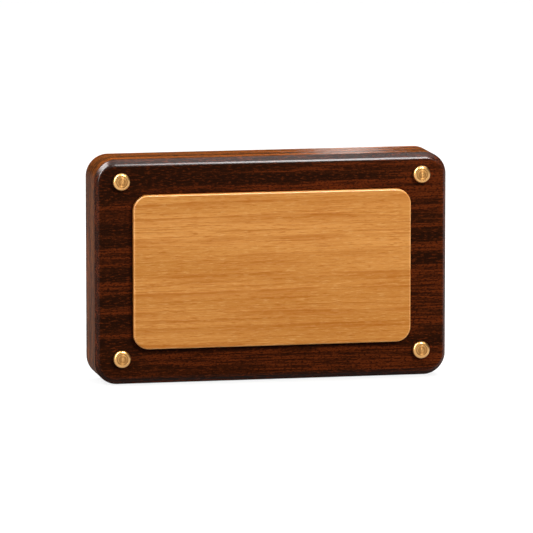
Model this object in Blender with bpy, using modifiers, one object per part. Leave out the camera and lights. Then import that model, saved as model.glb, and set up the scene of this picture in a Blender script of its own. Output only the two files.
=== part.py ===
"""Award plaque: a thick dark-wood board with a light-wood face panel and four brass screw caps.

It stands on a felt strip let into its lower edge, and a keyhole hanger let into its back takes a wall screw.
Metres, +Z up, the front faces -Y. The origin is the middle of the felt's underside.
"""
import math

import bmesh
import bpy
from mathutils import Matrix

# Clearances: between faces that lie on each other, round a piece in its hole, and beside a piece that turns
SEAT_GAP = 0.0003
SIDE_GAP = 0.0003
RUNNING_GAP = 0.0003

# Face panel
PANEL_WIDTH = 0.160
PANEL_HEIGHT = 0.0878
PANEL_THICKNESS = 0.004
PANEL_CORNER_RADIUS = 0.0085
PANEL_EDGE_ROUND = 0.0012
PANEL_SINK = 0.0005

# Tape strips behind the panel
TAPE_STRIP_HEIGHT = 0.019
TAPE_THICKNESS = 0.0004
TAPE_INSET = 0.006

# Board: its margins outside the panel, its thickness and its edges
SIDE_MARGIN = 0.0215
END_MARGIN = 0.0201
BOARD_DEPTH = 0.032
BOARD_CORNER_RADIUS = 0.0127
FRONT_CHAMFER = 0.003
BACK_CHAMFER = 0.001
ARRIS_ROUND = 0.0006

# Felt strip under the board
FELT_THICKNESS = 0.0012
FELT_PROUD = 0.0004
FELT_SETBACK = 0.003
FELT_CORNER_RADIUS = 0.002

# Caps: their places from the board's edges, and their turned heads and threaded studs
CAP_INSET_SIDE = 0.0149
CAP_INSET_TOP = 0.0123
CAP_INSET_BOTTOM = 0.0148
CAP_DIAMETER = 0.010
CAP_HEIGHT = 0.003
CAP_RIM_ROUND = 0.0009
CAP_RIM_LAND = 0.0001
CAP_RIM_WALL = 0.0008
CAP_FACE_DEPTH = 0.0002
STUD_DIAMETER = 0.005
STUD_REACH = 0.0064
STUD_TIP_CHAMFER = 0.0006

# Washer under each cap
WASHER_THICKNESS = 0.0005

# Threaded insert that each stud screws into, barbed outside where the board grips it
INSERT_WALL = 0.0009
INSERT_LEAD = 0.0015
BARB_RISE = 0.0004
BARB_COUNT = 4

# Keyhole hanger plate on the back
HANGER_INSET_TOP = 0.016
PLATE_THICKNESS = 0.002
PLATE_SIDE_LAND = 0.0035
PLATE_END_LAND = 0.002
KEYHOLE_DIAMETER = 0.009
KEYHOLE_SLOT_WIDTH = 0.005
KEYHOLE_RISE = 0.009
HEAD_POCKET_DEPTH = 0.007

# Countersunk wood screws that hold the plate
SCREW_HEAD_DIAMETER = 0.006
SCREW_HEAD_LAND = 0.0002
SCREW_HEAD_SINK = 0.0001
SCREW_SHANK_DIAMETER = 0.003
SCREW_LENGTH = 0.014
SCREW_POINT = 0.003
SCREW_SLOT_WIDTH = 0.0009
SCREW_SLOT_DEPTH = 0.0008

# Mesh fineness and modelling tolerances
CORNER_STEPS = 10
EDGE_STEPS = 3
ROUND_STEPS = 32
ROUND_BEVEL = 0.5
CUT_OVERRUN = 0.001
WELD_DISTANCE = 0.000001
SHARP_ANGLE = math.radians(30)

# Sizes and places that follow from those above
BOARD_WIDTH = PANEL_WIDTH + 2 * SIDE_MARGIN
BOARD_HEIGHT = PANEL_HEIGHT + 2 * END_MARGIN
BOARD_FRONT = -BOARD_DEPTH / 2
BOARD_BACK = BOARD_DEPTH / 2
BOARD_BOTTOM = FELT_PROUD
BOARD_TOP = BOARD_BOTTOM + BOARD_HEIGHT
BOARD_MIDDLE = (BOARD_BOTTOM + BOARD_TOP) / 2
PANEL_RECESS_DEPTH = PANEL_SINK + SEAT_GAP + TAPE_THICKNESS + SEAT_GAP
FELT_LENGTH = BOARD_WIDTH - 2 * (BOARD_CORNER_RADIUS + FELT_SETBACK)
FELT_DEPTH = BOARD_DEPTH - 2 * (FRONT_CHAMFER + FELT_SETBACK)
FELT_RECESS_DEPTH = FELT_THICKNESS + SEAT_GAP - FELT_PROUD
CAP_X = BOARD_WIDTH / 2 - CAP_INSET_SIDE
CAP_PLACES = {
    "top_left": (-CAP_X, BOARD_TOP - CAP_INSET_TOP),
    "top_right": (CAP_X, BOARD_TOP - CAP_INSET_TOP),
    "bottom_left": (-CAP_X, BOARD_BOTTOM + CAP_INSET_BOTTOM),
    "bottom_right": (CAP_X, BOARD_BOTTOM + CAP_INSET_BOTTOM),
}
CAP_RADIUS = CAP_DIAMETER / 2
STUD_RADIUS = STUD_DIAMETER / 2
WASHER_TOP = SEAT_GAP + WASHER_THICKNESS
WASHER_POCKET_RADIUS = CAP_RADIUS - CAP_RIM_WALL
THREAD_RADIUS = STUD_RADIUS + RUNNING_GAP
INSERT_ROOT_RADIUS = THREAD_RADIUS + INSERT_WALL
INSERT_RADIUS = INSERT_ROOT_RADIUS + BARB_RISE
INSERT_LENGTH = STUD_REACH + INSERT_LEAD
INSERT_HOLE_DEPTH = SEAT_GAP + INSERT_LENGTH + SEAT_GAP
KEYHOLE_RADIUS = KEYHOLE_DIAMETER / 2
SCREW_HEAD_RADIUS = SCREW_HEAD_DIAMETER / 2
SCREW_SHANK_RADIUS = SCREW_SHANK_DIAMETER / 2
SCREW_OFFSET = KEYHOLE_RISE / 2 + KEYHOLE_RADIUS + PLATE_END_LAND + SCREW_HEAD_RADIUS
PLATE_WIDTH = KEYHOLE_DIAMETER + 2 * PLATE_SIDE_LAND
PLATE_LENGTH = 2 * (SCREW_OFFSET + SCREW_HEAD_RADIUS + PLATE_END_LAND)
PLATE_RECESS_DEPTH = PLATE_THICKNESS + SEAT_GAP
PLATE_MIDDLE = BOARD_TOP - HANGER_INSET_TOP - PLATE_LENGTH / 2

# Turns that lay a piece's own +Z along the plaque's front, its back, or leave it upright
FACING_FRONT = (math.pi / 2, 0, 0)
FACING_BACK = (-math.pi / 2, 0, 0)
UPRIGHT = (0, 0, 0)


def fresh_collection(name):
    """An empty collection of this name, in place of any that an earlier run left."""
    old = bpy.data.collections.get(name)
    if old:
        bpy.data.collections.remove(old)
    collection = bpy.data.collections.new(name)
    bpy.context.scene.collection.children.link(collection)
    return collection


def make_material(name, colour, roughness, metallic=0.0):
    """A Principled material of one linear colour."""
    material = bpy.data.materials.new(name)
    material.use_nodes = True
    shader = material.node_tree.nodes["Principled BSDF"]
    shader.inputs["Base Color"].default_value = (*colour, 1.0)
    shader.inputs["Roughness"].default_value = roughness
    shader.inputs["Metallic"].default_value = metallic
    return material


def place(obj, location, rotation):
    """Put a new object in the scene at this place and turn."""
    bpy.context.scene.collection.objects.link(obj)
    obj.location = location
    obj.rotation_euler = rotation
    return obj


def arc(centre, radius, start, end, steps):
    """Points along an arc, its angles in degrees."""
    angles = [math.radians(start + (end - start) * i / steps) for i in range(steps + 1)]
    return [(centre[0] + radius * math.cos(a), centre[1] + radius * math.sin(a)) for a in angles]


def rectangle(width, height):
    """The outline of a rectangle, about its middle."""
    x = width / 2
    y = height / 2
    return [(x, y), (-x, y), (-x, -y), (x, -y)]


def rounded_rectangle(width, height, radius):
    """The outline of a rectangle with round corners, about its middle."""
    points = []
    for quarter, corner in enumerate(rectangle(width - 2 * radius, height - 2 * radius)):
        points += arc(corner, radius, 90 * quarter, 90 * quarter + 90, CORNER_STEPS)
    return points


def stadium(width, length):
    """The outline of an upright slot with round ends, about its middle."""
    radius = width / 2
    end = length / 2 - radius
    half_turn = ROUND_STEPS // 2
    return arc((0, end), radius, 0, 180, half_turn) + arc((0, -end), radius, 180, 360, half_turn)


def keyhole():
    """The outline of the keyhole: a round entry with a slot above it, about the middle of its rise."""
    entry = (0, -KEYHOLE_RISE / 2)
    slot_end = (0, KEYHOLE_RISE / 2)
    half_gap = math.degrees(math.asin(KEYHOLE_SLOT_WIDTH / KEYHOLE_DIAMETER))
    round_entry = arc(entry, KEYHOLE_RADIUS, 90 + half_gap, 450 - half_gap, ROUND_STEPS)
    return round_entry + arc(slot_end, KEYHOLE_SLOT_WIDTH / 2, 0, 180, ROUND_STEPS // 2)


def flat_piece(name, outlines, thickness, location, rotation):
    """A flat mesh of these outlines, with its thickness shared about its own XY plane."""
    curve = bpy.data.curves.new(name, "CURVE")
    curve.dimensions = "2D"
    curve.fill_mode = "BOTH"
    curve.extrude = thickness / 2
    for outline in outlines:
        spline = curve.splines.new("POLY")
        spline.points.add(len(outline) - 1)
        for point, (x, y) in zip(spline.points, outline):
            point.co = (x, y, 0, 1)
        spline.use_cyclic_u = True
    guide = place(bpy.data.objects.new(name + "_outline", curve), location, rotation)
    evaluated = guide.evaluated_get(bpy.context.evaluated_depsgraph_get())
    mesh = bpy.data.meshes.new_from_object(evaluated)
    bpy.data.objects.remove(guide)
    mesh.name = name
    welded = bmesh.new()
    welded.from_mesh(mesh)
    bmesh.ops.remove_doubles(welded, verts=welded.verts, dist=WELD_DISTANCE)
    bmesh.ops.recalc_face_normals(welded, faces=welded.faces)
    welded.to_mesh(mesh)
    welded.free()
    return place(bpy.data.objects.new(name, mesh), location, rotation)


def turned_piece(name, profile, location, rotation, ring=False):
    """A profile of (radius, height) points turned about its own Z axis; a ring's profile closes on itself."""
    edges = [(i, i + 1) for i in range(len(profile) - 1)]
    if ring:
        edges.append((len(profile) - 1, 0))
    mesh = bpy.data.meshes.new(name)
    mesh.from_pydata([(radius, 0, height) for radius, height in profile], edges, [])
    obj = place(bpy.data.objects.new(name, mesh), location, rotation)
    screw = obj.modifiers.new("turn", "SCREW")
    screw.axis = "Z"
    screw.steps = ROUND_STEPS
    screw.render_steps = ROUND_STEPS
    screw.use_merge_vertices = True
    screw.merge_threshold = WELD_DISTANCE
    return obj


def rounded_block(name, width, depth, height, corner_radius, location):
    """A block in the plaque's own directions, with the four edges that run from front to back rounded."""
    block = bmesh.new()
    bmesh.ops.create_cube(block, size=1, matrix=Matrix.Diagonal((width, depth, height, 1)))
    through = [edge for edge in block.edges if abs(edge.verts[0].co.y - edge.verts[1].co.y) > depth / 2]
    bmesh.ops.bevel(block, geom=through, offset=corner_radius, segments=CORNER_STEPS, profile=ROUND_BEVEL,
                    affect="EDGES")
    mesh = bpy.data.meshes.new(name)
    block.to_mesh(mesh)
    block.free()
    return place(bpy.data.objects.new(name, mesh), location, UPRIGHT)


def bevel_loop(obj, level, width, steps):
    """Bevel the closed loop of edges that lies at this height along the object's own Y axis."""
    shape = bmesh.new()
    shape.from_mesh(obj.data)
    loop = [e for e in shape.edges if all(abs(v.co.y - level) < WELD_DISTANCE for v in e.verts)]
    bmesh.ops.bevel(shape, geom=loop, offset=width, segments=steps, profile=ROUND_BEVEL, affect="EDGES")
    shape.to_mesh(obj.data)
    shape.free()


def cut(obj, cutter):
    """Take the cutter's shape out of the object, and keep the cutter as a hidden guide."""
    boolean = obj.modifiers.new("cut_" + cutter.name, "BOOLEAN")
    boolean.operation = "DIFFERENCE"
    boolean.object = cutter
    cutter.hide_render = True
    cutter.display_type = "WIRE"


def finish(obj, material):
    """Turn the object's modifiers into its mesh, shade its round faces smooth and give it a material."""
    evaluated = obj.evaluated_get(bpy.context.evaluated_depsgraph_get())
    mesh = bpy.data.meshes.new_from_object(evaluated)
    obj.modifiers.clear()
    obj.data = mesh
    mesh.name = obj.name
    mesh.shade_smooth()
    mesh.set_sharp_from_angle(angle=SHARP_ANGLE)
    mesh.materials.clear()
    mesh.materials.append(material)
    return obj


def hole_cutter(name, radius, depth, location, rotation):
    """A round cutter that goes to this depth below the face at its location."""
    profile = [(0, CUT_OVERRUN), (radius, CUT_OVERRUN), (radius, -depth), (0, -depth)]
    return turned_piece(name, profile, location, rotation)


def recess_cutter(name, outline, depth, face, middle):
    """A flat cutter for a recess this deep in the board's front or back face, its middle at this height."""
    inward = 1 if face == BOARD_FRONT else -1
    centre = face + inward * (depth - CUT_OVERRUN) / 2
    return flat_piece(name, [outline], depth + CUT_OVERRUN, (0, centre, middle), FACING_FRONT)


def screw_places():
    """The hanger screws' names and heights, above and below the keyhole."""
    return {"upper": PLATE_MIDDLE + SCREW_OFFSET, "lower": PLATE_MIDDLE - SCREW_OFFSET}


def board_cutters():
    """Cutters for everything that is let into the board."""
    panel_outline = rounded_rectangle(PANEL_WIDTH + 2 * SIDE_GAP, PANEL_HEIGHT + 2 * SIDE_GAP,
                                      PANEL_CORNER_RADIUS + SIDE_GAP)
    plate_outline = stadium(PLATE_WIDTH + 2 * SIDE_GAP, PLATE_LENGTH + 2 * SIDE_GAP)
    pocket_outline = stadium(KEYHOLE_DIAMETER, KEYHOLE_DIAMETER + KEYHOLE_RISE)
    felt_outline = rounded_rectangle(FELT_LENGTH + 2 * SIDE_GAP, FELT_DEPTH + 2 * SIDE_GAP,
                                     FELT_CORNER_RADIUS + SIDE_GAP)
    pocket_depth = PLATE_RECESS_DEPTH + HEAD_POCKET_DEPTH
    felt_height = FELT_RECESS_DEPTH + CUT_OVERRUN
    felt_middle = BOARD_BOTTOM + FELT_RECESS_DEPTH - felt_height / 2
    cutters = [
        recess_cutter("panel_recess", panel_outline, PANEL_RECESS_DEPTH, BOARD_FRONT, BOARD_MIDDLE),
        recess_cutter("plate_recess", plate_outline, PLATE_RECESS_DEPTH, BOARD_BACK, PLATE_MIDDLE),
        recess_cutter("head_pocket", pocket_outline, pocket_depth, BOARD_BACK, PLATE_MIDDLE),
        flat_piece("felt_recess", [felt_outline], felt_height, (0, 0, felt_middle), UPRIGHT),
    ]
    for corner, (x, z) in CAP_PLACES.items():
        cutters.append(hole_cutter("insert_hole_" + corner, INSERT_RADIUS + SIDE_GAP, INSERT_HOLE_DEPTH,
                                   (x, BOARD_FRONT, z), FACING_FRONT))
    for side, z in screw_places().items():
        cutters.append(hole_cutter("screw_hole_" + side, SCREW_SHANK_RADIUS + SIDE_GAP,
                                   SCREW_LENGTH + SEAT_GAP, (0, BOARD_BACK, z), FACING_BACK))
    return cutters


def make_board(cutters):
    """The board: round corners, a broad chamfer round the front, a small one round the back."""
    board = rounded_block("board", BOARD_WIDTH, BOARD_DEPTH, BOARD_HEIGHT, BOARD_CORNER_RADIUS,
                          (0, 0, BOARD_MIDDLE))
    bevel_loop(board, BOARD_FRONT, FRONT_CHAMFER, 1)
    bevel_loop(board, BOARD_FRONT + FRONT_CHAMFER, ARRIS_ROUND, EDGE_STEPS)
    bevel_loop(board, BOARD_FRONT, ARRIS_ROUND, EDGE_STEPS)
    bevel_loop(board, BOARD_BACK, BACK_CHAMFER, EDGE_STEPS)
    for cutter in cutters:
        cut(board, cutter)
    return finish(board, make_material("dark_wood", (0.045, 0.014, 0.006), 0.35))


def make_panel():
    """The face panel, with its front edge rounded."""
    back = BOARD_FRONT + PANEL_SINK
    panel = rounded_block("face_panel", PANEL_WIDTH, PANEL_THICKNESS, PANEL_HEIGHT, PANEL_CORNER_RADIUS,
                          (0, back - PANEL_THICKNESS / 2, BOARD_MIDDLE))
    bevel_loop(panel, -PANEL_THICKNESS / 2, PANEL_EDGE_ROUND, EDGE_STEPS)
    return finish(panel, make_material("honey_wood", (0.61, 0.26, 0.062), 0.45))


def make_tapes():
    """Two strips of double-sided tape between the panel and the floor of its recess."""
    material = make_material("tape_foam", (0.6, 0.6, 0.58), 0.8)
    length = PANEL_WIDTH - 2 * TAPE_INSET
    offset = PANEL_HEIGHT / 2 - TAPE_INSET - TAPE_STRIP_HEIGHT / 2
    middle = BOARD_FRONT + PANEL_RECESS_DEPTH - SEAT_GAP - TAPE_THICKNESS / 2
    outline = rectangle(length, TAPE_STRIP_HEIGHT)
    tapes = []
    for side, z in {"upper": BOARD_MIDDLE + offset, "lower": BOARD_MIDDLE - offset}.items():
        tape = flat_piece("panel_tape_" + side, [outline], TAPE_THICKNESS, (0, middle, z), FACING_FRONT)
        tapes.append(finish(tape, material))
    return tapes


def make_felt():
    """The felt strip that the plaque stands on, set in its groove."""
    outline = rounded_rectangle(FELT_LENGTH, FELT_DEPTH, FELT_CORNER_RADIUS)
    felt = flat_piece("base_felt", [outline], FELT_THICKNESS, (0, 0, FELT_THICKNESS / 2), UPRIGHT)
    return finish(felt, make_material("black_felt", (0.012, 0.012, 0.013), 0.95))


def cap_profile():
    """Half a cap's section, from the middle of its face to its stud's tip; height 0 is the board."""
    top = SEAT_GAP + CAP_HEIGHT
    face = top - CAP_FACE_DEPTH
    ceiling = WASHER_TOP + SEAT_GAP
    round_centre = (CAP_RADIUS - CAP_RIM_ROUND, top - CAP_RIM_ROUND)
    bead = round_centre[0] - CAP_RIM_LAND
    head = [(0, face), (bead - CAP_FACE_DEPTH, face), (bead, top)]
    head += arc(round_centre, CAP_RIM_ROUND, 90, 0, 2 * EDGE_STEPS)
    head += [(CAP_RADIUS, SEAT_GAP), (WASHER_POCKET_RADIUS, SEAT_GAP), (WASHER_POCKET_RADIUS, ceiling)]
    stud = [(STUD_RADIUS, ceiling), (STUD_RADIUS, STUD_TIP_CHAMFER - STUD_REACH)]
    return head + stud + [(STUD_RADIUS - STUD_TIP_CHAMFER, -STUD_REACH), (0, -STUD_REACH)]


def washer_profile():
    """The section of the washer that lies in the hollow under a cap."""
    outer = WASHER_POCKET_RADIUS - SIDE_GAP
    inner = STUD_RADIUS + RUNNING_GAP
    return [(outer, WASHER_TOP), (outer, SEAT_GAP), (inner, SEAT_GAP), (inner, WASHER_TOP)]


def insert_profile():
    """The section of a threaded insert: barbs that slope inwards going down, and a plain bore."""
    top = -SEAT_GAP
    barb = INSERT_LENGTH / BARB_COUNT
    outside = []
    for i in range(BARB_COUNT):
        outside += [(INSERT_RADIUS, top - i * barb), (INSERT_ROOT_RADIUS, top - (i + 1) * barb)]
    return outside + [(THREAD_RADIUS, top - INSERT_LENGTH), (THREAD_RADIUS, top)]


def make_caps():
    """A cap, a washer and a threaded insert at each corner, all on the cap's own axis."""
    brass = make_material("brass", (0.67, 0.40, 0.12), 0.25, 1.0)
    insert_brass = make_material("insert_brass", (0.58, 0.36, 0.13), 0.4, 1.0)
    nylon = make_material("washer_nylon", (0.02, 0.02, 0.02), 0.6)
    pieces = []
    for corner, (x, z) in CAP_PLACES.items():
        axis = (x, BOARD_FRONT, z)
        cap = turned_piece("cap_" + corner, cap_profile(), axis, FACING_FRONT)
        washer = turned_piece("cap_washer_" + corner, washer_profile(), axis, FACING_FRONT, ring=True)
        insert = turned_piece("thread_insert_" + corner, insert_profile(), axis, FACING_FRONT, ring=True)
        pieces += [finish(cap, brass), finish(washer, nylon), finish(insert, insert_brass)]
    return pieces


def countersink_profile(gap):
    """A hanger screw's section under its head, this much larger all round; height 0 is the board's back."""
    head = SCREW_HEAD_RADIUS + gap
    shank = SCREW_SHANK_RADIUS + gap
    land = -SCREW_HEAD_SINK - SCREW_HEAD_LAND
    return [(head, land), (shank, land - (head - shank))]


def make_hanger():
    """The keyhole plate, flush in its recess, with two countersunk holes."""
    middle = BOARD_BACK - PLATE_THICKNESS / 2
    plate = flat_piece("hanger_plate", [stadium(PLATE_WIDTH, PLATE_LENGTH), keyhole()], PLATE_THICKNESS,
                       (0, middle, PLATE_MIDDLE), FACING_FRONT)
    cutters = []
    for side, z in screw_places().items():
        cone = countersink_profile(SIDE_GAP)
        below = -PLATE_THICKNESS - CUT_OVERRUN
        profile = [(0, CUT_OVERRUN), (cone[0][0], CUT_OVERRUN)] + cone + [(cone[1][0], below), (0, below)]
        cutters.append(turned_piece("countersink_" + side, profile, (0, BOARD_BACK, z), FACING_BACK))
        cut(plate, cutters[-1])
    return finish(plate, make_material("hanger_steel", (0.62, 0.60, 0.56), 0.35, 1.0)), cutters


def make_screws():
    """The two slotted wood screws that hold the hanger plate."""
    steel = make_material("screw_steel", (0.55, 0.53, 0.50), 0.35, 1.0)
    top = -SCREW_HEAD_SINK
    shoulder = SCREW_POINT - SCREW_LENGTH
    profile = [(0, top), (SCREW_HEAD_RADIUS, top)] + countersink_profile(0)
    profile += [(SCREW_SHANK_RADIUS, shoulder), (0, -SCREW_LENGTH)]
    slot_outline = rectangle(SCREW_HEAD_DIAMETER + 2 * CUT_OVERRUN, SCREW_SLOT_WIDTH)
    slot_depth = SCREW_HEAD_SINK + SCREW_SLOT_DEPTH
    screws = []
    cutters = []
    for side, z in screw_places().items():
        screw = turned_piece("hanger_screw_" + side, profile, (0, BOARD_BACK, z), FACING_BACK)
        cutters.append(recess_cutter("screw_slot_" + side, slot_outline, slot_depth, BOARD_BACK, z))
        cut(screw, cutters[-1])
        screws.append(finish(screw, steel))
    return screws, cutters


def gather(collection, objects):
    """Move these objects from the scene's own collection into this one."""
    for obj in objects:
        bpy.context.scene.collection.objects.unlink(obj)
        collection.objects.link(obj)


def main():
    for obj in list(bpy.data.objects):
        bpy.data.objects.remove(obj, do_unlink=True)
    parts = fresh_collection("award_plaque")
    guides = fresh_collection("award_plaque_cutters")
    cutters = board_cutters()
    pieces = [make_board(cutters), make_panel(), *make_tapes(), make_felt(), *make_caps()]
    plate, plate_cutters = make_hanger()
    screws, screw_cutters = make_screws()
    pieces += [plate, *screws]
    gather(parts, pieces)
    gather(guides, cutters + plate_cutters + screw_cutters)
    root = bpy.data.objects.new("award_plaque_origin", None)
    parts.objects.link(root)
    for piece in pieces:
        piece.parent = root


main()
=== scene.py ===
"""Looks of the award plaque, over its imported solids: finer meshes, procedural finishes, light and camera.

Metres, in the frame's own axes: +Z up, the front faces -Y.
"""
import math

import bmesh
import bpy
from mathutils import Matrix, Vector


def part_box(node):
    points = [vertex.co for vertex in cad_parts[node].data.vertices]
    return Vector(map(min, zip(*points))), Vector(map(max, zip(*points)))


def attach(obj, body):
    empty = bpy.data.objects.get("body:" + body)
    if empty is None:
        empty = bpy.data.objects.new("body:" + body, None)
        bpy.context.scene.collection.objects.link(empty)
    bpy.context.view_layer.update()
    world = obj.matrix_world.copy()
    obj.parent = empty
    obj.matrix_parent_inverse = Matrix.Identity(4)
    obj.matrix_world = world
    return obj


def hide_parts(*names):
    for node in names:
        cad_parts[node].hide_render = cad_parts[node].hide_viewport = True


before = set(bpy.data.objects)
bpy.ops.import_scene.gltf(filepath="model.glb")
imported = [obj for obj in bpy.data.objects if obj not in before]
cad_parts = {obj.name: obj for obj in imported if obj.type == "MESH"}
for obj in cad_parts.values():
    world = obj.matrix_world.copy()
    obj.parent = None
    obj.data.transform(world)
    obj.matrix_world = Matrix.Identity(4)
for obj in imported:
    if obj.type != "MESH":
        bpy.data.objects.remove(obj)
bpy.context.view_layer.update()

# Clearances that the solids keep
SEAT_GAP = 0.0003
SIDE_GAP = 0.0003

# The board's edges, and what is let into it
BOARD_CORNER_RADIUS = 0.0127
CHAMFER_INSET = 0.003
CHAMFER_DEPTH = 0.0026
SIDE_CHAMFER_SHARE = 0.66
END_CHAMFER_SHARE = 1.1
FRONT_ARRIS_ROUND = 0.0028
SIDE_ARRIS_ROUND = 0.0004
BACK_ROUND = 0.001
FACE_LAND = 0.002
HEAD_POCKET_DEPTH = 0.007
KEYHOLE_DIAMETER = 0.009
KEYHOLE_SLOT_WIDTH = 0.005
KEYHOLE_RISE = 0.009
PLATE_EDGE_ROUND = 0.0003

# Face panel, tape and felt edges
PANEL_CORNER_RADIUS = 0.0085
PANEL_EDGE_ROUND = 0.0009
PANEL_BACK_ROUND = 0.0002
TAPE_EDGE_ROUND = 0.0001
TAPE_CORNER_RADIUS = 0.0005
FELT_CORNER_RADIUS = 0.002
FELT_EDGE_ROUND = 0.0004

# Caps: rim bead, spun face, and the thread on the stud
CAP_RIM_ROUND = 0.0016
CAP_RIM_SWEEP_DEGREES = 95
CAP_FOOT_ROUND = 0.0002
CAP_RIM_WALL = 0.0008
SPIN_PITCH = 0.00085
SPIN_DEPTH = 0.00004
SPIN_SAMPLES = 8
SPIN_EDGE_GROOVE = 0.00008
STUD_RADIUS = 0.0025
STUD_TIP_CHAMFER = 0.0006
THREAD_PITCH = 0.0008
THREAD_DEPTH = 0.00042
THREAD_SAMPLES = 8
WASHER_EDGE_ROUND = 0.0001
INSERT_WALL = 0.0009
BARB_RISE = 0.0004
BARB_COUNT = 4

# Hanger screws
SCREW_HEAD_LAND = 0.0002
SCREW_SHANK_RADIUS = 0.0015
SCREW_POINT = 0.003
SCREW_SLOT_WIDTH = 0.0009
SCREW_SLOT_DEPTH = 0.0008
SCREW_THREAD_PITCH = 0.0012
SCREW_THREAD_DEPTH = 0.0004

# Mesh fineness
CORNER_STEPS = 24
EDGE_STEPS = 8
ROUND_STEPS = 96
LEAST_CORNER_RADIUS = 0.0003
CUT_OVERRUN = 0.001
SLIVER = 0.000001
SHARP_ANGLE = math.radians(40)

# How squarely a face points to the front or back, from 0 to 1, where one finish gives way to the next
BOARD_EDGE_FACING = 0.5
BOARD_FLAT_FACING = 0.995
PANEL_RIM_FACING = 0.2
PANEL_FLAT_FACING = 0.96

# Dark wood: linear colours, their tone on each kind of face, and its grain in features to a metre of x, y, z
DARK_WOOD_BLACK = (0.013, 0.0030, 0.0006)
DARK_WOOD_BROWN = (0.032, 0.0068, 0.0012)
DARK_WOOD_RED = (0.092, 0.0160, 0.0026)
DARK_WOOD_FLECK = (0.135, 0.0245, 0.0045)
FRONT_TONE = (1.0, 1.0, 1.0)
# The edge tone makes the chamfers slightly lighter, and the side tone makes the top, bottom and ends lighter
# and greyer: painted light
EDGE_PAINTED_LIGHT_TONE = (1.1, 1.1, 1.1)
SIDE_PAINTED_LIGHT_TONE = (1.9, 2.6, 2.3)
DARK_BAND_GRAIN = (4, 300, 85)
DARK_VEIN_GRAIN = (12, 700, 330)
DARK_LINE_GRAIN = (40, 1500, 1100)
DARK_FLECK_GRAIN = (260, 2000, 1100)
DARK_PORE_GRAIN = (600, 3000, 1500)

# Where along the plank the dark wood's faces start, and the share of its features in z left on the sides
FRONT_ALONG = 1.0
SIDE_ALONG = 1.7
SIDE_UPRIGHT = 0.15

# Lacquer on the board's edges: the slopes where its coat starts and is full, and its full weight
LACQUER_FALL = -0.1
LACQUER_RISE = 0.4
LACQUER_COAT = 0.44

# Honey-coloured wood: the same, and where along its plank the panel starts
HONEY_DEEP = (0.48, 0.172, 0.030)
HONEY_PALE = (0.64, 0.262, 0.064)
HONEY_LINE = (0.37, 0.094, 0.007)
HONEY_FLECK = (0.72, 0.37, 0.125)
HONEY_TONE = (0.99, 1.065, 1.07)
# Painted light on the panel: its round front edge is paler as a painted highlight, and its side walls are
# darker as painted shade
HONEY_RIM_HIGHLIGHT_TONE = (1.3, 1.55, 2.1)
HONEY_WALL_SHADE_TONE = (0.8, 0.75, 0.7)
HONEY_BAND_GRAIN = (2.5, 50, 40)
HONEY_HAIR_GRAIN = (16, 1400, 1150)
HONEY_WANDER_GRAIN = (3, 40, 52)
HONEY_BREAK_GRAIN = (22, 90, 110)
HONEY_DASH_GRAIN = (120, 1800, 1500)
HONEY_FLECK_GRAIN = (150, 2000, 1400)
HONEY_ALONG = 2.1

# Its growth lines, coarse and fine: how far apart they lie, how strong they are, and how far they wander
GROWTH_SPACING = 0.0102
GROWTH_STRENGTH = 0.56
FINE_GROWTH_SPACING = GROWTH_SPACING * 0.37
FINE_GROWTH_STRENGTH = 0.3
GROWTH_WANDER = 0.016

# Other finishes: a dull or dark colour and a bright or light one, linear
BRASS_RIM_COLOURS = ((0.54, 0.27, 0.070), (0.66, 0.35, 0.10))
# The spun face's dull colour is far darker than the rim's: painted shade on the face
BRASS_SPUN_SHADED_COLOURS = ((0.28, 0.13, 0.037), (0.68, 0.365, 0.12))
INSERT_COLOURS = ((0.52, 0.31, 0.11), (0.62, 0.39, 0.15))
STEEL_COLOURS = ((0.52, 0.51, 0.48), (0.66, 0.64, 0.60))
FOAM_COLOURS = ((0.54, 0.54, 0.52), (0.62, 0.62, 0.60))
FELT_COLOURS = ((0.007, 0.007, 0.008), (0.016, 0.016, 0.017))
NYLON_COLOURS = ((0.016, 0.016, 0.016), (0.024, 0.024, 0.024))

# Brass: patches of tarnish and marks of turning to a metre, and the turn that lays its sheen over the marks
TARNISH_PER_METRE = 260
TURNING_MARKS_PER_METRE = 1800
SHEEN_TURN = 0.25

# How far a finish's roughness varies either way, how rough its coat is, and how deep its grain or mottle lies
DARK_WOOD_UNEVENNESS = 0.08
HONEY_UNEVENNESS = 0.07
BRASS_UNEVENNESS = 0.06
PLAIN_UNEVENNESS = 0.08
WOOD_COAT_ROUGHNESS = 0.21
BRASS_COAT_ROUGHNESS = 0.2
GRAIN_RELIEF = 0.00004
PLAIN_RELIEF = 0.00002
FELT_RELIEF = 0.0003

# Sockets of a Mix node for colours, by number because its sockets share names
MIX_FACTOR = 0
MIX_A = 6
MIX_B = 7
MIX_RESULT = 2

# The floor: how far it lies under the felt, its half side and cells, and its shade to light and to the eye
FLOOR_GAP = 0.0001
FLOOR_HALF_SIDE = 12
FLOOR_CELLS = 4
FLOOR_GREY = 0.14
FLOOR_WHITE = 0.8

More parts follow.
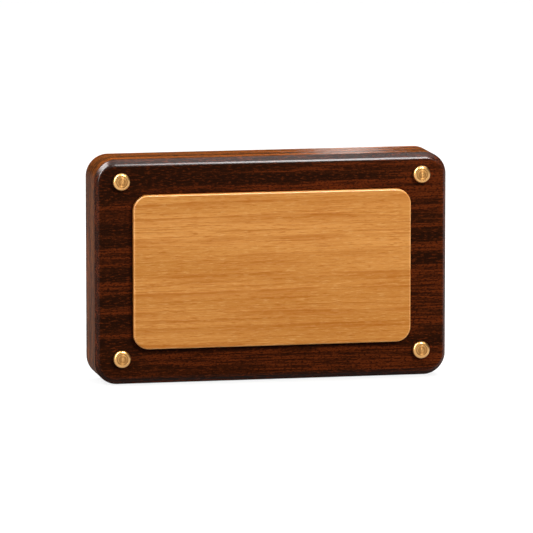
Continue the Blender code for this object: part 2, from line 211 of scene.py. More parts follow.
# Lamps: the direction from where they aim, the distance, the width and height, and the radiance
KEY_LAMP = {"direction": (0.43, -0.74, 0.52), "distance": 2.4, "size": (0.74, 0.74), "radiance": 27.0}
LEFT_LAMP = {"direction": (-0.75, 0.0, 0.66), "distance": 1.4, "size": (0.36, 0.70), "radiance": 23.0}
STRIP_LAMP = {"direction": (0.235, -0.69, 0.69), "distance": 1.3, "size": (0.28, 0.75), "radiance": 30.0}
CORNER_LAMP = {"direction": (-0.66, -0.24, 0.71), "distance": 1.2, "size": (0.34, 0.94), "radiance": 22.0}
SIDE_LAMP = {"direction": (-0.86, -0.45, 0.22), "distance": 1.2, "size": (0.40, 0.50), "radiance": 9.0}
BACK_LAMP = {"direction": (0.197, 0.97, 0.143), "distance": 2.0, "size": (0.05, 0.10), "radiance": 26.0}
BACK_LAMP_AIM = (0.076, 0.016, 0.064)
OVER_LAMP = {"direction": (0.30, 0.45, 0.84), "distance": 1.5, "size": (0.60, 0.60), "radiance": 24.0}
TOP_SUN = {"direction": (0.05, 0.35, 0.94), "degrees_wide": 90, "irradiance": 3.2}
SURROUND_GREY = 0.2

# Watts for each square metre of a lamp and unit of radiance
LAMP_POWER = 4

# The photograph's view: a square frame, its lens in pixels, and the camera's angles, in radians, and place
IMAGE_SIZE_PX = 533
LENS_PX = 6000
SENSOR_WIDTH_MM = 36
VIEW_YAW = 0.20029
VIEW_PITCH = 0.14306
VIEW_DISTANCE = 3.40078
VIEW_SHIFT_RIGHT = 0.00302533
VIEW_SHIFT_UP = -0.00102795

CORNERS = ("top_left", "top_right", "bottom_left", "bottom_right")

# Which way along y a turned piece's heights run
FRONT = -1
BACK = 1


# Meshes

def arc(centre, radius, start, end, steps):
    """Points along an arc, its angles in degrees."""
    angles = [math.radians(start + (end - start) * i / steps) for i in range(steps + 1)]
    return [(centre[0] + radius * math.cos(a), centre[1] + radius * math.sin(a)) for a in angles]


def rounded_rectangle(half_width, half_height, radius):
    """The outline of a rectangle with round corners, about its middle."""
    x = half_width - radius
    z = half_height - radius
    points = []
    for quarter, corner in enumerate(((x, z), (-x, z), (-x, -z), (x, -z))):
        points += arc(corner, radius, 90 * quarter, 90 * quarter + 90, CORNER_STEPS)
    return points


def filleted(path, radii):
    """An open path of points with its inner corners rounded to these radii."""
    points = [path[0]]
    for before, corner, after, radius in zip(path, path[1:], path[2:], radii):
        here = Vector(corner)
        back = (Vector(before) - here).normalized()
        ahead = (Vector(after) - here).normalized()
        half = back.angle(ahead) / 2
        centre = here + (back + ahead).normalized() * radius / math.sin(half)
        start = here + back * radius / math.tan(half) - centre
        end = here + ahead * radius / math.tan(half) - centre
        sweep = start.angle_signed(end)
        for step in range(EDGE_STEPS + 1):
            turn = Matrix.Rotation(-sweep * step / EDGE_STEPS, 2)
            points.append(tuple(centre + turn @ start))
    return points + [path[-1]]


def object_of(name, shape):
    """A new object in the scene from a bmesh, its faces pointing out."""
    bmesh.ops.recalc_face_normals(shape, faces=shape.faces)
    mesh = bpy.data.meshes.new(name)
    shape.to_mesh(mesh)
    shape.free()
    obj = bpy.data.objects.new(name, mesh)
    bpy.context.scene.collection.objects.link(obj)
    return obj


def bridge(shape, low, high):
    """Quads between two closed loops of as many points."""
    for i in range(len(low)):
        j = (i + 1) % len(low)
        shape.faces.new((low[i], low[j], high[j], high[i]))


def loft(name, rings):
    """A closed mesh through rings of points, with its first and last ring filled."""
    shape = bmesh.new()
    loops = [[shape.verts.new(point) for point in ring] for ring in rings]
    for low, high in zip(loops, loops[1:]):
        bridge(shape, low, high)
    shape.faces.new(loops[0])
    shape.faces.new(loops[-1])
    return object_of(name, shape)


def slab(name, middle, half_width, half_height, radius, section, shares=(1, 1)):
    """A plate that faces the front: its section runs in (inset, depth) from one face round to the other.

    The shares scale the inset at its sides and at its top and bottom.
    """
    rings = []
    for inset, depth in section:
        outline = rounded_rectangle(half_width - inset * shares[0], half_height - inset * shares[1],
                                    max(radius - inset, LEAST_CORNER_RADIUS))
        rings.append([(middle[0] + x, depth, middle[1] + z) for x, z in outline])
    return loft(name, rings)


def turned(name, profile, axis, facing, ring=False, shape_of=None):
    """A profile of (radius, height) turned about an axis to the front or back through a point, its origin.

    A ring's profile closes on itself. shape_of(radius, height, angle) can change a radius, as a thread does.
    """
    shape = bmesh.new()
    loops = []
    for radius, height in profile:
        if radius == 0:
            loops.append([shape.verts.new((0, facing * height, 0))])
            continue
        loop = []
        for step in range(ROUND_STEPS):
            angle = 2 * math.pi * step / ROUND_STEPS
            reach = shape_of(radius, height, angle) if shape_of else radius
            loop.append(shape.verts.new((reach * math.cos(angle), facing * height, reach * math.sin(angle))))
        loops.append(loop)
    pairs = list(zip(loops, loops[1:]))
    if ring:
        pairs.append((loops[-1], loops[0]))
    for low, high in pairs:
        if len(low) > 1 and len(high) > 1:
            bridge(shape, low, high)
            continue
        pole, rim = (low, high) if len(low) == 1 else (high, low)
        for i in range(len(rim)):
            shape.faces.new((pole[0], rim[i], rim[(i + 1) % len(rim)]))
    obj = object_of(name, shape)
    obj.matrix_world = Matrix.Translation(axis)
    return obj


def evaluated_mesh(obj):
    """The object's mesh with its modifiers applied."""
    evaluated = obj.evaluated_get(bpy.context.evaluated_depsgraph_get())
    return bpy.data.meshes.new_from_object(evaluated)


def cut(obj, cutters):
    """Take these objects' shapes out of the object, and remove them."""
    for cutter in cutters:
        boolean = obj.modifiers.new(cutter.name, "BOOLEAN")
        boolean.operation = "DIFFERENCE"
        boolean.object = cutter
    obj.data = evaluated_mesh(obj)
    obj.modifiers.clear()
    for cutter in cutters:
        bpy.data.objects.remove(cutter)
    drop_slivers(obj.data)


def drop_slivers(mesh):
    """Take out the faces without area that a cut can leave."""
    shape = bmesh.new()
    shape.from_mesh(mesh)
    bmesh.ops.dissolve_degenerate(shape, dist=SLIVER, edges=shape.edges)
    shape.to_mesh(mesh)
    shape.free()


def finish(obj, material, slot, body, *nodes):
    """Smooth shading, a finish, and the solid that the piece stands for."""
    obj.data.shade_smooth()
    obj.data.set_sharp_from_angle(angle=SHARP_ANGLE)
    weighted = obj.modifiers.new("even_normals", "WEIGHTED_NORMAL")
    weighted.keep_sharp = True
    obj.data.materials.clear()
    obj.data.materials.append(material)
    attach(obj, body)
    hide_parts(*nodes)


def paint(obj, material, chosen):
    """Give the faces that are chosen another finish."""
    obj.data.materials.append(material)
    for face in obj.data.polygons:
        if chosen(face):
            face.material_index = len(obj.data.materials) - 1


def box_of(solid):
    """A solid's middle across the front, its half sizes there, and its front and back depth."""
    low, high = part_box(solid)
    middle = ((low.x + high.x) / 2, (low.z + high.z) / 2)
    return middle, ((high.x - low.x) / 2, (high.z - low.z) / 2), low.y, high.y


# Node materials

def new_material(name):
    """A node material, its tree and its Principled shader."""
    material = bpy.data.materials.new(name)
    material.use_nodes = True
    return material, material.node_tree, material.node_tree.nodes["Principled BSDF"]


def node(tree, kind, inputs, **settings):
    """A new shader node; each input is a plain value or another node's output."""
    made = tree.nodes.new("ShaderNode" + kind)
    for name, value in settings.items():
        setattr(made, name, value)
    feed(tree, made, inputs)
    return made


def feed(tree, made, inputs):
    """Set or link a node's inputs."""
    for name, value in inputs.items():
        if isinstance(value, bpy.types.NodeSocket):
            tree.links.new(value, made.inputs[name])
        else:
            made.inputs[name].default_value = value


def object_point(tree):
    """The point on the piece, in metres."""
    return node(tree, "TexCoord", {}).outputs["Object"]


def plank_point(tree, along, upright=1.0):
    """The point on the piece, moved along its plank; the lower upright is, the longer its grain is in z."""
    return node(tree, "Mapping", {"Vector": object_point(tree), "Location": (along, 0, 0),
                                  "Scale": (1, 1, upright)}).outputs[0]


def streaks(tree, point, per_metre, detail=3.0, roughness=0.55, distortion=0.0):
    """Noise stretched by how many features there are to a metre along x, y and z."""
    stretched = node(tree, "Mapping", {"Vector": point, "Scale": per_metre})
    noise = node(tree, "TexNoise", {"Vector": stretched.outputs[0], "Scale": 1.0, "Detail": detail,
                                    "Roughness": roughness, "Distortion": distortion})
    return noise.outputs["Fac"]


def ramp(tree, factor, stops):
    """A colour or grey for a factor, from stops of (place, colour)."""
    made = node(tree, "ValToRGB", {"Fac": factor})
    elements = made.color_ramp.elements
    while len(elements) < len(stops):
        elements.new(1.0)
    for element, (place, colour) in zip(elements, stops):
        element.position = place
        element.color = (*colour, 1.0) if isinstance(colour, tuple) else (colour, colour, colour, 1.0)
    return made.outputs["Color"]


def cover(tree, layer, share, full, none):
    """How much a layer of noise covers: a share of the whole at one of its levels, nothing at the other."""
    return ramp(tree, layer, sorted([(full, share), (none, 0.0)]))


def mix(tree, factor, a, b):
    """Two colours mixed."""
    made = node(tree, "Mix", {}, data_type="RGBA")
    for index, value in ((MIX_FACTOR, factor), (MIX_A, a), (MIX_B, b)):
        if isinstance(value, bpy.types.NodeSocket):
            tree.links.new(value, made.inputs[index])
        else:
            made.inputs[index].default_value = (*value, 1.0) if isinstance(value, tuple) else value
    return made.outputs[MIX_RESULT]


def math_node(tree, operation, a, b):
    """Two numbers combined."""
    return node(tree, "Math", {0: a, 1: b}, operation=operation).outputs[0]


def spread(tree, factor, middle, by):
    """A factor from 0 to 1 spread this far either side of a value."""
    return node(tree, "MapRange", {"Value": factor, "To Min": middle - by, "To Max": middle + by}).outputs[0]


def bump(tree, height, distance):
    """A surface normal from a height."""
    return node(tree, "Bump", {"Height": height, "Distance": distance}).outputs[0]


def upward(tree):
    """The lacquer's coat on an edge: none where it slopes down, full where it slopes up."""
    normal = node(tree, "TexCoord", {}).outputs["Normal"]
    rise = node(tree, "SeparateXYZ", {"Vector": normal}).outputs["Z"]
    return node(tree, "MapRange", {"Value": rise, "From Min": LACQUER_FALL, "From Max": LACQUER_RISE,
                                   "To Max": LACQUER_COAT}, interpolation_type="SMOOTHSTEP").outputs[0]


def toned(colours, tone):
    """Colours, each multiplied by a tone."""
    return [tuple(channel * factor for channel, factor in zip(colour, tone)) for colour in colours]


def dark_wood(name, tone, rough, gloss, along, upright=1.0, coat=0.0, facing_up=False):
    """Dark hardwood in red and black bands, its grain along x, under lacquer that can thicken facing up."""
    material, tree, shader = new_material(name)
    point = plank_point(tree, along, upright)
    bands = streaks(tree, point, DARK_BAND_GRAIN, detail=3, distortion=0.5)
    veins = streaks(tree, point, DARK_VEIN_GRAIN, detail=2)
    lines = streaks(tree, point, DARK_LINE_GRAIN, detail=2, roughness=0.6)
    flecks = streaks(tree, point, DARK_FLECK_GRAIN, detail=3, roughness=0.65)
    pores = streaks(tree, point, DARK_PORE_GRAIN, detail=3, roughness=0.65)
    black, brown, red, fleck = toned((DARK_WOOD_BLACK, DARK_WOOD_BROWN, DARK_WOOD_RED, DARK_WOOD_FLECK), tone)
    colour = ramp(tree, bands, [(0.44, black), (0.49, brown), (0.53, red)])
    colour = mix(tree, cover(tree, veins, 0.7, full=0.44, none=0.51), colour, black)
    colour = mix(tree, cover(tree, lines, 0.8, full=0.43, none=0.50), colour, black)
    colour = mix(tree, cover(tree, flecks, 0.5, full=0.64, none=0.51), colour, fleck)
    colour = mix(tree, cover(tree, pores, 0.9, full=0.40, none=0.50), colour, black)
    feed(tree, shader, {
        "Base Color": colour,
        "Roughness": spread(tree, lines, rough, DARK_WOOD_UNEVENNESS),
        "Normal": bump(tree, math_node(tree, "ADD", pores, lines), GRAIN_RELIEF),
        "Specular IOR Level": gloss,
        "Coat Weight": upward(tree) if facing_up else coat,
        "Coat Roughness": WOOD_COAT_ROUGHNESS,
    })
    return material


def growth_lines(tree, point, wander, spacing, strength):
    """Long lines along x, one to a year's growth: each darkens slowly and ends sharply."""
    height = node(tree, "SeparateXYZ", {"Vector": point}).outputs["Z"]
    years = math_node(tree, "ADD", math_node(tree, "DIVIDE", height, spacing),
                      math_node(tree, "MULTIPLY", wander, GROWTH_WANDER / spacing))
    age = node(tree, "Math", {0: years}, operation="FRACT").outputs[0]
    return ramp(tree, age, [(0.0, 0.0), (0.45, 0.14 * strength), (0.78, 0.38 * strength), (0.91, strength),
                            (0.95, strength), (1.0, 0.0)])


def honey_wood(name, tone, rough, gloss):
    """Fine-grained honey-coloured hardwood with long growth lines, its grain along x, under satin lacquer."""
    material, tree, shader = new_material(name)
    point = plank_point(tree, HONEY_ALONG)
    broad = streaks(tree, point, HONEY_BAND_GRAIN, detail=4, roughness=0.65)
    hairs = streaks(tree, point, HONEY_HAIR_GRAIN, detail=2, roughness=0.65)
    wander = streaks(tree, point, HONEY_WANDER_GRAIN, detail=3)
    breaks = streaks(tree, point, HONEY_BREAK_GRAIN, detail=2)
    dashes = streaks(tree, point, HONEY_DASH_GRAIN, detail=3, roughness=0.7)
    flecks = streaks(tree, point, HONEY_FLECK_GRAIN, detail=3, roughness=0.7)
    deep, pale, line, fleck = toned((HONEY_DEEP, HONEY_PALE, HONEY_LINE, HONEY_FLECK), tone)
    colour = ramp(tree, broad, [(0.35, deep), (0.65, pale)])
    colour = mix(tree, cover(tree, hairs, 0.6, full=0.34, none=0.45), colour, line)
    colour = mix(tree, cover(tree, dashes, 0.6, full=0.36, none=0.47), colour, line)
    colour = mix(tree, cover(tree, flecks, 0.4, full=0.65, none=0.51), colour, fleck)
    unbroken = ramp(tree, breaks, [(0.40, 0.1), (0.58, 1.0)])
    for spacing, strength in ((GROWTH_SPACING, GROWTH_STRENGTH), (FINE_GROWTH_SPACING, FINE_GROWTH_STRENGTH)):
        grown = growth_lines(tree, point, wander, spacing, strength)
        colour = mix(tree, mix(tree, unbroken, (0.0, 0.0, 0.0), grown), colour, line)
    feed(tree, shader, {
        "Base Color": colour,
        "Roughness": spread(tree, dashes, rough, HONEY_UNEVENNESS),
        "Normal": bump(tree, dashes, GRAIN_RELIEF),
        "Specular IOR Level": gloss,
    })
    return material


def turning_marks(tree, point):
    """Noise in rings round the piece's own axis."""
    across = node(tree, "Mapping", {"Vector": point, "Scale": (1, 0, 1)}).outputs[0]
    radius = node(tree, "VectorMath", {0: across}, operation="LENGTH").outputs["Value"]
    noise = node(tree, "TexNoise", {"W": radius, "Scale": TURNING_MARKS_PER_METRE, "Detail": 2.0},
                 noise_dimensions="1D")
    return noise.outputs["Fac"]


def brass(name, colours, rough, spun=0.0, lacquer=0.0):
    """Brass with tarnish in patches and fine marks of turning round its axis, that can be lacquered."""
    material, tree, shader = new_material(name)
    dull, bright = colours
    point = object_point(tree)
    patches = streaks(tree, point, (TARNISH_PER_METRE,) * 3, detail=3)
    marks = turning_marks(tree, point)
    tarnished = ramp(tree, patches, [(0.3, dull), (0.7, bright)])
    feed(tree, shader, {
        "Base Color": mix(tree, cover(tree, marks, 1.0, full=0.42, none=0.56), tarnished, dull),
        "Metallic": 1.0,
        "Roughness": spread(tree, marks, rough, BRASS_UNEVENNESS),
        "Anisotropic": spun,
        "Anisotropic Rotation": SHEEN_TURN,
        "Coat Weight": lacquer,
        "Coat Roughness": BRASS_COAT_ROUGHNESS,
        "Tangent": node(tree, "Tangent", {}, direction_type="RADIAL", axis="Y").outputs[0],
    })
    return material


def plain_solid(name, colours, per_metre, rough, metal=0.0, relief=PLAIN_RELIEF):
    """A finish of two close colours in a fine mottle, with a little relief."""
    material, tree, shader = new_material(name)
    dark, light = colours
    mottle = streaks(tree, object_point(tree), (per_metre,) * 3, detail=4)
    feed(tree, shader, {
        "Base Color": ramp(tree, mottle, [(0.35, dark), (0.65, light)]),
        "Metallic": metal,
        "Roughness": spread(tree, mottle, rough, PLAIN_UNEVENNESS),
        "Normal": bump(tree, mottle, relief),
    })
    return material


# Pieces

def board_cutters(low, high):
    """Cutters for everything that is let into the board."""
    over = CUT_OVERRUN
    panel_middle, panel_half, _, _ = box_of("face_panel")
    recess_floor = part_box("panel_tape_upper")[1].y + SEAT_GAP
    cutters = [slab("panel_recess", panel_middle, panel_half[0] + SIDE_GAP, panel_half[1] + SIDE_GAP,
                    PANEL_CORNER_RADIUS + SIDE_GAP, [(0, low.y - over), (0, recess_floor)])]
    plate_middle, plate_half, plate_floor, _ = box_of("hanger_plate")
    plate_floor -= SEAT_GAP
    width = plate_half[0] + SIDE_GAP
    cutters.append(slab("plate_recess", plate_middle, width, plate_half[1] + SIDE_GAP, width,
                        [(0, plate_floor), (0, high.y + over)]))
    width = KEYHOLE_DIAMETER / 2
    cutters.append(slab("head_pocket", plate_middle, width, width + KEYHOLE_RISE / 2, width,
                        [(0, plate_floor - HEAD_POCKET_DEPTH), (0, high.y + over)]))
    for side in ("upper", "lower"):
        middle, _, tip, _ = box_of("hanger_screw_" + side)
        depth = high.y - tip + SEAT_GAP
        radius = SCREW_SHANK_RADIUS + SIDE_GAP
        cutters.append(turned("screw_hole", [(0, over), (radius, over), (radius, -depth), (0, -depth)],
                              (middle[0], high.y, middle[1]), BACK))
    for corner in CORNERS:
        middle, half, _, bottom = box_of("thread_insert_" + corner)
        depth = bottom + SEAT_GAP - low.y
        radius = half[0] + SIDE_GAP
        cutters.append(turned("insert_hole", [(0, over), (radius, over), (radius, -depth), (0, -depth)],
                              (middle[0], low.y, middle[1]), FRONT))
    cutters.append(felt_groove(low))
    return cutters


def lying(obj):
    """Turn a piece that was made facing the front so that it faces down."""
    obj.data.transform(Matrix.Rotation(-math.pi / 2, 4, "X"))
    return obj


def felt_groove(low):
    """The cutter for the groove that the felt lies in."""
    felt_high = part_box("base_felt")[1]
    ceiling = felt_high.z + SEAT_GAP
    groove = slab("felt_groove", (0, 0), felt_high.x + SIDE_GAP, felt_high.y + SIDE_GAP,
                  FELT_CORNER_RADIUS + SIDE_GAP, [(0, -ceiling), (0, CUT_OVERRUN - low.z)])
    return lying(groove)


def make_board(front_finish, side_painted_light_finish, edge_painted_light_finish):
    """The board: round corners, a broad chamfer with soft arrises round the front, a round back edge."""
    low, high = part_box("board")
    middle, half, _, _ = box_of("board")
    section = filleted([(FACE_LAND, high.y), (0, high.y), (0, low.y + CHAMFER_DEPTH), (CHAMFER_INSET, low.y),
                        (CHAMFER_INSET + FACE_LAND, low.y)],
                       (BACK_ROUND, SIDE_ARRIS_ROUND, FRONT_ARRIS_ROUND))
    board = slab("board_wood", middle, half[0], half[1], BOARD_CORNER_RADIUS, section,
                 (SIDE_CHAMFER_SHARE, END_CHAMFER_SHARE))
    cut(board, board_cutters(low, high))
    finish(board, front_finish, "dark_wood", "plaque", "board")
    # Painted light: the top, bottom and ends take a lighter, greyer copy of the wood, and the chamfers a
    # slightly lighter one
    paint(board, side_painted_light_finish, lambda face: abs(face.normal.y) < BOARD_EDGE_FACING)
    paint(board, edge_painted_light_finish, lambda face: BOARD_EDGE_FACING <= abs(face.normal.y) < BOARD_FLAT_FACING)


def make_panel(flat_finish, rim_highlight_finish, wall_shade_finish):
    """The face panel, its round front edge painted pale as a highlight and its side walls painted darker as
    shade.
    """
    middle, half, front, back = box_of("face_panel")
    section = filleted([(FACE_LAND, back), (0, back), (0, front), (FACE_LAND, front)],
                       (PANEL_BACK_ROUND, PANEL_EDGE_ROUND))
    panel = slab("panel_wood", middle, half[0], half[1], PANEL_CORNER_RADIUS, section)
    finish(panel, flat_finish, "honey_wood", "plaque", "face_panel")
    # Painted highlight on the round front edge, painted shade on the side walls
    paint(panel, rim_highlight_finish, lambda face: abs(face.normal.y) < PANEL_FLAT_FACING)
    paint(panel, wall_shade_finish, lambda face: abs(face.normal.y) < PANEL_RIM_FACING)


def make_tapes(material):
    """The two strips of double-sided tape behind the panel."""
    for side in ("upper", "lower"):
        node_name = "panel_tape_" + side
        middle, half, front, back = box_of(node_name)
        section = filleted([(FACE_LAND, back), (0, back), (0, front), (FACE_LAND, front)],
                           (TAPE_EDGE_ROUND, TAPE_EDGE_ROUND))
        tape = slab("tape_" + side, middle, half[0], half[1], TAPE_CORNER_RADIUS, section)
        finish(tape, material, "tape_foam", "plaque", node_name)


def make_felt(material):
    """The felt strip, its cut edges soft and its underside napped."""
    low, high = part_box("base_felt")
    section = filleted([(FACE_LAND, -high.z), (0, -high.z), (0, -low.z), (FACE_LAND, -low.z)],
                       (FELT_EDGE_ROUND, FELT_EDGE_ROUND))
    felt = lying(slab("felt_strip", (0, 0), high.x, high.y, FELT_CORNER_RADIUS, section))
    finish(felt, material, "black_felt", "plaque", "base_felt")


def threaded(root, tip, pitch, depth):
    """A right-hand thread: the radius at each height and angle, between these heights."""
    def shape_of(radius, height, angle):
        if not tip <= height <= root:
            return radius
        phase = (height / pitch - angle / (2 * math.pi)) % 1
        return radius - depth * abs(2 * phase - 1)
    return shape_of


def spun_face(radius, height):
    """The cap's face from its middle outwards, in shallow rings left by the tool, with a groove round it."""
    count = round(radius / SPIN_PITCH) * SPIN_SAMPLES
    points = []
    for i in range(count):
        ring = (1 - math.cos(2 * math.pi * i / SPIN_SAMPLES)) / 2
        points.append((radius * i / count, height - SPIN_DEPTH * ring))
    return points + [(radius - SPIN_EDGE_GROOVE, height - SPIN_EDGE_GROOVE)]


def rim_bead(radius, top):
    """The round rim from its inner foot over its crown to the cap's wall."""
    centre = (radius - CAP_RIM_ROUND, top - CAP_RIM_ROUND)
    return arc(centre, CAP_RIM_ROUND, CAP_RIM_SWEEP_DEGREES, 0, 2 * EDGE_STEPS)


def cap_profile(radius, top, stud_tip, washer_ceiling):
    """Half a cap's section, from the middle of its face round the rim to its stud's tip."""
    bead = rim_bead(radius, top)
    inner, face = bead[0]
    foot = SEAT_GAP
    pocket = radius - CAP_RIM_WALL
    rim = bead + filleted([bead[-1], (radius, foot), (pocket, foot)], (CAP_FOOT_ROUND,))[1:]
    thread_length = washer_ceiling - stud_tip
    rows = math.ceil(thread_length / THREAD_PITCH * THREAD_SAMPLES)
    stud = []
    for i in range(rows + 1):
        height = washer_ceiling - thread_length * i / rows
        stud.append((min(STUD_RADIUS, STUD_RADIUS - STUD_TIP_CHAMFER + height - stud_tip), height))
    return spun_face(inner, face) + rim + [(pocket, washer_ceiling)] + stud + [(0, stud_tip)]


def make_caps(rim_brass, spun_shaded_brass, insert_brass, nylon):
    """A cap, a washer and a threaded insert at each corner."""
    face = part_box("board")[0].y
    for corner in CORNERS:
        cap_node = "cap_" + corner
        middle, half, top, stud_tip = box_of(cap_node)
        axis = (middle[0], face, middle[1])
        _, washer_half, washer_top, washer_foot = box_of("cap_washer_" + corner)
        ceiling = face - washer_top + SEAT_GAP
        profile = cap_profile(half[0], face - top, face - stud_tip, ceiling)
        cap = turned("cap_brass_" + corner, profile, axis, FRONT,
                     shape_of=threaded(0, face - stud_tip, THREAD_PITCH, THREAD_DEPTH))
        finish(cap, rim_brass, "brass", cap_node, cap_node)
        spun_radius = rim_bead(half[0], 0)[0][0]
        # The spun face takes a darker copy of the brass: painted shade
        paint(cap, spun_shaded_brass, lambda patch: patch.center.y < 0
              and math.hypot(patch.center.x, patch.center.z) < spun_radius)
        make_washer(corner, axis, washer_half[0], face - washer_top, face - washer_foot, nylon)
        make_insert(corner, axis, insert_brass)


def make_washer(corner, axis, outer, top, foot, material):
    """The nylon washer in the hollow under a cap, its edges broken."""
    inner = STUD_RADIUS + SIDE_GAP
    corners = [((inner + outer) / 2, top), (outer, top), (outer, foot), (inner, foot), (inner, top),
               ((inner + outer) / 2, top)]
    profile = filleted(corners, (WASHER_EDGE_ROUND,) * 4)[:-1]
    washer = turned("washer_nylon_" + corner, profile, axis, FRONT, ring=True)
    finish(washer, material, "washer_nylon", "washer_" + corner, "cap_washer_" + corner)


def make_insert(corner, axis, material):
    """The barbed insert that the stud screws into."""
    name = "thread_insert_" + corner
    _, half, front, foot = box_of(name)
    top = axis[1] - front
    length = foot - front
    barb = length / BARB_COUNT
    profile = []
    for i in range(BARB_COUNT):
        profile += [(half[0], top - i * barb), (half[0] - BARB_RISE, top - (i + 1) * barb)]
    bore = half[0] - BARB_RISE - INSERT_WALL
    profile += [(bore, top - length), (bore, top)]
    insert = turned("insert_brass_" + corner, profile, axis, FRONT, ring=True)
    finish(insert, material, "insert_brass", "plaque", name)


def make_hanger(material):
    """The keyhole plate and its two slotted screws."""
    middle, half, front, back = box_of("hanger_plate")
    section = filleted([(FACE_LAND, front), (0, front), (0, back), (FACE_LAND, back)],
                       (PLATE_EDGE_ROUND, PLATE_EDGE_ROUND))
    plate = slab("keyhole_plate", middle, half[0], half[1], half[0], section)
    over = CUT_OVERRUN
    entry = KEYHOLE_DIAMETER / 2
    slot = KEYHOLE_SLOT_WIDTH / 2
    lower_end = middle[1] - KEYHOLE_RISE / 2
    cutters = [
        turned("entry", [(0, over), (entry, over), (entry, front - back - over), (0, front - back - over)],
               (middle[0], back, lower_end), BACK),
        slab("slot", middle, slot, KEYHOLE_RISE / 2 + slot, slot, [(0, front - over), (0, back + over)]),
    ]
    for side in ("upper", "lower"):
        place, head, tip, top = box_of("hanger_screw_" + side)
        axis = (place[0], back, place[1])
        cone = cone_profile(head[0] + SIDE_GAP, SCREW_SHANK_RADIUS + SIDE_GAP, top - back)
        through = front - back - over
        cutters.append(turned("countersink", [(0, over), (cone[0][0], over)] + cone
                              + [(cone[1][0], through), (0, through)], axis, BACK))
        make_screw(side, axis, head[0], top - back, tip - back, material)
    cut(plate, cutters)
    finish(plate, material, "hanger_steel", "plaque", "hanger_plate")


def cone_profile(head, shank, top):
    """The section under a countersunk head, down to its shank."""
    land = top - SCREW_HEAD_LAND
    return [(head, land), (shank, land - (head - shank))]


def make_screw(side, axis, head, top, tip, material):
    """A countersunk wood screw with a slot, a thread and a point."""
    cone = cone_profile(head, SCREW_SHANK_RADIUS, top)
    neck = cone[1][1]
    rows = round((neck - tip) / SCREW_THREAD_PITCH * THREAD_SAMPLES)
    shank = []
    for i in range(1, rows):
        height = neck + (tip - neck) * i / rows
        shank.append((SCREW_SHANK_RADIUS * min(1, (height - tip) / SCREW_POINT), height))
    screw = turned("plate_screw_" + side, [(0, top), (head, top)] + cone + shank + [(0, tip)], axis, BACK,
                   shape_of=threaded(neck - SCREW_THREAD_PITCH, tip + SCREW_POINT, SCREW_THREAD_PITCH,
                                     SCREW_THREAD_DEPTH))
    half = head + CUT_OVERRUN
    floor = axis[1] + top - SCREW_SLOT_DEPTH
    slot = slab("driver_slot", (axis[0], axis[2]), half, SCREW_SLOT_WIDTH / 2, LEAST_CORNER_RADIUS,
                [(0, floor), (0, axis[1] + CUT_OVERRUN)])
    cut(screw, [slot])
    finish(screw, material, "hanger_steel", "plaque", "hanger_screw_" + side)


# Stage, light and camera

def make_floor():
    """A plain pale floor under the plaque, white to the eye and in reflections."""
    shape = bmesh.new()
    bmesh.ops.create_grid(shape, x_segments=FLOOR_CELLS, y_segments=FLOOR_CELLS, size=FLOOR_HALF_SIDE)
    floor = object_of("floor", shape)
    floor.location.z = -FLOOR_GAP
    material, tree, shader = new_material("floor_white")
    path = node(tree, "LightPath", {})
    seen = math_node(tree, "MAXIMUM", path.outputs["Is Camera Ray"], path.outputs["Is Glossy Ray"])
    seen = math_node(tree, "MAXIMUM", seen, path.outputs["Is Transmission Ray"])
    feed(tree, shader, {
        "Base Color": (FLOOR_GREY, FLOOR_GREY, FLOOR_GREY, 1),
        "Roughness": 0.9,
        "Specular IOR Level": 0.0,
        "Emission Color": (FLOOR_WHITE, FLOOR_WHITE, FLOOR_WHITE, 1),
        "Emission Strength": seen,
    })
    floor.data.materials.append(material)


def softbox(name, aim, direction, distance, size, radiance, lights=True, shows=True):
    """A rectangular lamp that faces the aim from this direction: it lights it, shows in its gloss or both."""
    lamp = bpy.data.lights.new(name, "AREA")
    lamp.shape = "RECTANGLE"
    lamp.size, lamp.size_y = size
    lamp.energy = LAMP_POWER * radiance * size[0] * size[1]
    obj = bpy.data.objects.new(name, lamp)
    bpy.context.scene.collection.objects.link(obj)
    towards = Vector(direction).normalized()
    obj.location = aim + towards * distance
    obj.rotation_euler = towards.to_track_quat("Z", "Y").to_euler()
    obj.visible_camera = False
    obj.visible_diffuse = lights
    obj.visible_glossy = shows


def sun(name, direction, degrees_wide, irradiance):
    """A broad even lamp far off in this direction."""
    lamp = bpy.data.lights.new(name, "SUN")
    lamp.angle = math.radians(degrees_wide)
    lamp.energy = irradiance
    obj = bpy.data.objects.new(name, lamp)
    bpy.context.scene.collection.objects.link(obj)
    obj.rotation_euler = Vector(direction).to_track_quat("Z", "Y").to_euler()
    obj.visible_camera = False


def make_lights(aim):
    """Soft studio light from the right, the left and overhead, and lamps that only show in the gloss."""
    softbox("key", aim, **KEY_LAMP, shows=False)
    softbox("left", aim, **LEFT_LAMP, shows=False)
    softbox("strip", aim, **STRIP_LAMP, lights=False)
    softbox("corner", aim, **CORNER_LAMP, lights=False)
    softbox("side", aim, **SIDE_LAMP, lights=False)
    softbox("back", aim + Vector(BACK_LAMP_AIM), **BACK_LAMP, lights=False)
    softbox("over", aim, **OVER_LAMP, shows=False)
    sun("top", **TOP_SUN)


def make_world():
    """An even grey surround."""
    world = bpy.data.worlds.new("surround")
    bpy.context.scene.world = world
    world.use_nodes = True
    background = world.node_tree.nodes["Background"]
    background.inputs["Color"].default_value = (SURROUND_GREY, SURROUND_GREY, SURROUND_GREY, 1)
    background.inputs["Strength"].default_value = 1.0


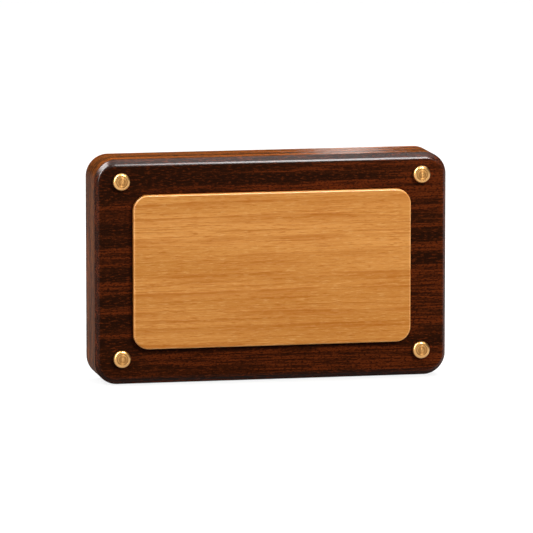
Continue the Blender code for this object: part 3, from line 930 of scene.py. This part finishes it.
def make_camera(target):
    """The photograph's camera, looking at a point on the board's front."""
    right = Vector((math.cos(VIEW_YAW), -math.sin(VIEW_YAW), 0))
    up = Vector((math.sin(VIEW_YAW) * math.sin(VIEW_PITCH), math.cos(VIEW_YAW) * math.sin(VIEW_PITCH),
                 math.cos(VIEW_PITCH)))
    ahead = Vector((math.sin(VIEW_YAW) * math.cos(VIEW_PITCH), math.cos(VIEW_YAW) * math.cos(VIEW_PITCH),
                    -math.sin(VIEW_PITCH)))
    lens = bpy.data.cameras.new("camera")
    lens.sensor_width = SENSOR_WIDTH_MM
    lens.lens = LENS_PX * SENSOR_WIDTH_MM / IMAGE_SIZE_PX
    camera = bpy.data.objects.new("camera", lens)
    bpy.context.scene.collection.objects.link(camera)
    place = target - right * VIEW_SHIFT_RIGHT - up * VIEW_SHIFT_UP - ahead * VIEW_DISTANCE
    turn = Matrix((right, up, -ahead)).transposed()
    camera.matrix_world = Matrix.Translation(place) @ turn.to_4x4()
    bpy.context.scene.camera = camera


def dress():
    """Every piece with its finish."""
    make_board(dark_wood("dark_wood_front", FRONT_TONE, rough=0.5, gloss=0.02, along=FRONT_ALONG),
               # The side and edge copies of the dark wood are lighter: painted light on the top, ends and
               # chamfers
               dark_wood("dark_wood_side_painted_light", SIDE_PAINTED_LIGHT_TONE, rough=0.5, gloss=0.0, along=SIDE_ALONG,
                         upright=SIDE_UPRIGHT, coat=0.08),
               dark_wood("dark_wood_edge_painted_light", EDGE_PAINTED_LIGHT_TONE, rough=0.28, gloss=0.055, along=FRONT_ALONG,
                         facing_up=True))
    make_panel(honey_wood("honey_wood", HONEY_TONE, rough=0.45, gloss=0.08),
               # The rim copy is paler, a painted highlight; the wall copy is darker, painted shade
               honey_wood("honey_wood_rim_highlight", HONEY_RIM_HIGHLIGHT_TONE, rough=0.25, gloss=0.3),
               honey_wood("honey_wood_wall_shade", HONEY_WALL_SHADE_TONE, rough=0.45, gloss=0.08))
    make_tapes(plain_solid("tape_foam", FOAM_COLOURS, per_metre=6000, rough=0.8))
    make_felt(plain_solid("black_felt", FELT_COLOURS, per_metre=5000, rough=0.9, relief=FELT_RELIEF))
    make_caps(brass("brass_rim", BRASS_RIM_COLOURS, rough=0.30, lacquer=1.0),
              # The spun brass is darker than the rim's: painted shade
              brass("brass_spun_shaded", BRASS_SPUN_SHADED_COLOURS, rough=0.46, spun=0.66),
              brass("insert_brass", INSERT_COLOURS, rough=0.4),
              plain_solid("washer_nylon", NYLON_COLOURS, per_metre=4000, rough=0.6))
    make_hanger(plain_solid("hanger_steel", STEEL_COLOURS, per_metre=900, rough=0.38, metal=1.0))


def main():
    """The dressed plaque, its stage, light and camera."""
    dress()
    low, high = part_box("board")
    target = Vector((0, low.y, (low.z + high.z) / 2))
    make_floor()
    make_world()
    make_lights(target)
    make_camera(target)
    bpy.context.scene.view_settings.view_transform = "Standard"


main()
